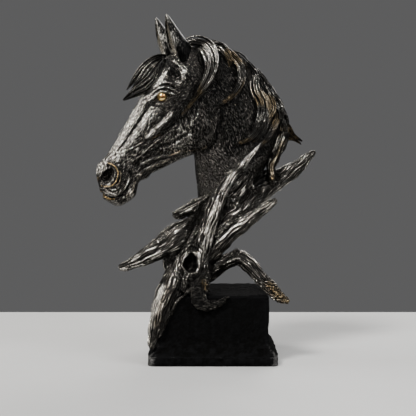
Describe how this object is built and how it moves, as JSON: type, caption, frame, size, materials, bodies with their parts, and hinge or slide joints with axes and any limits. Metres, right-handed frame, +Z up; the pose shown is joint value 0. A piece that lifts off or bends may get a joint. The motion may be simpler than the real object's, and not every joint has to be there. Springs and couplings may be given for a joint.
{
  "type": "horse head sculpture",
  "caption": "Horse head with a flowing mane rising from twisted driftwood, in dark bronze resin with silvered edges, on a flared black plinth; a table ornament.",
  "frame": {"origin": "centre of the plinth's flat underside, on the surface that it stands on", "axes": "+Z up, -Y out of the plinth's broad front face, toward the viewer who sees the muzzle point left; the muzzle points to -X and a little to -Y"},
  "size_m": [0.2604, 0.14, 0.405],
  "materials": {
    "dark_bronze": "near-black bronze with champagne-silver dry brushing on raised edges and touches of gold",
    "black_base": "matt black, rough cast",
    "gilt_eye": "polished gilt"
  },
  "bodies": {
    "root": {"horse_and_driftwood": "dark_bronze", "plinth": "black_base"}
  },
  "joints": []
}
